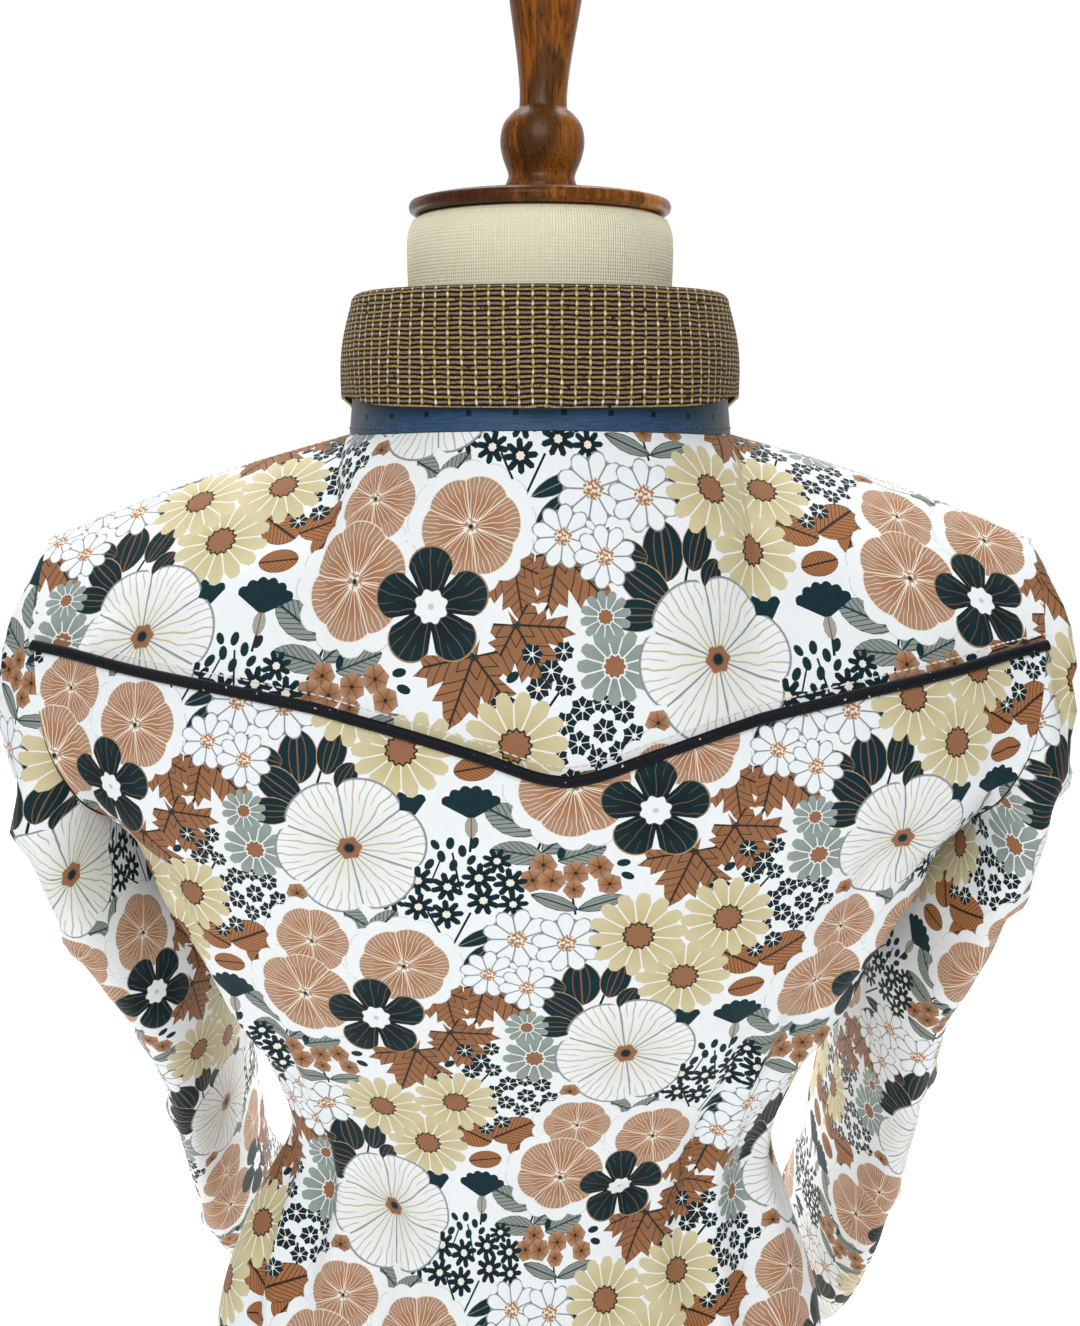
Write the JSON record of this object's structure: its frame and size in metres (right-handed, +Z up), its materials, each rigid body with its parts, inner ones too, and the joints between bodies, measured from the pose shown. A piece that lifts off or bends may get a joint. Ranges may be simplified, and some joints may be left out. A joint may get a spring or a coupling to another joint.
{
  "type": "western snap shirt on a dress form",
  "caption": "Fitted western snap shirt in floral cotton with a pointed piped yoke and tweed collar, worn by a limbless linen dress form on a turned wooden stand.",
  "frame": {"origin": "centre of the base's underside, on the floor", "axes": "+Z up along the stand; +Y towards the wearer's front, so the back faces -Y; +X towards the wearer's right side"},
  "size_m": [0.4141, 0.4174, 1.014],
  "materials": {
    "printed_cotton": "printed cotton sateen, half-drop floral on white",
    "navy_silk": "navy silk with small woven dots, low sheen",
    "navy_cord": "black-navy cord piping, soft sheen",
    "brown_tweed": "coarse brown and cream tweed, matte",
    "linen": "ecru knitted linen, matte",
    "stained_wood": "turned hardwood, orange-brown stain and satin varnish",
    "pearl_snap": "pearl cap in a rolled rim"
  },
  "bodies": {
    "root": {"back_body": "printed_cotton", "back_yoke": "printed_cotton", "left_front": "printed_cotton", "right_front": "printed_cotton", "front_placket": "printed_cotton", "sleeve_left": "printed_cotton", "sleeve_right": "printed_cotton", "cuff_left": "printed_cotton", "cuff_right": "printed_cotton", "yoke_piping": "navy_cord", "collar_stand": "navy_silk", "collar_fall": "brown_tweed", "snap_1": "pearl_snap", "snap_2": "pearl_snap", "snap_3": "pearl_snap", "snap_4": "pearl_snap", "snap_5": "pearl_snap", "snap_6": "pearl_snap", "snap_7": "pearl_snap", "snap_collar": "pearl_snap", "cuff_left_snap_1": "pearl_snap", "cuff_left_snap_2": "pearl_snap", "cuff_right_snap_1": "pearl_snap", "cuff_right_snap_2": "pearl_snap", "form_torso": "linen", "form_neck": "linen", "neck_cap": "stained_wood", "finial": "stained_wood", "post": "stained_wood", "base": "stained_wood"}
  },
  "joints": []
}
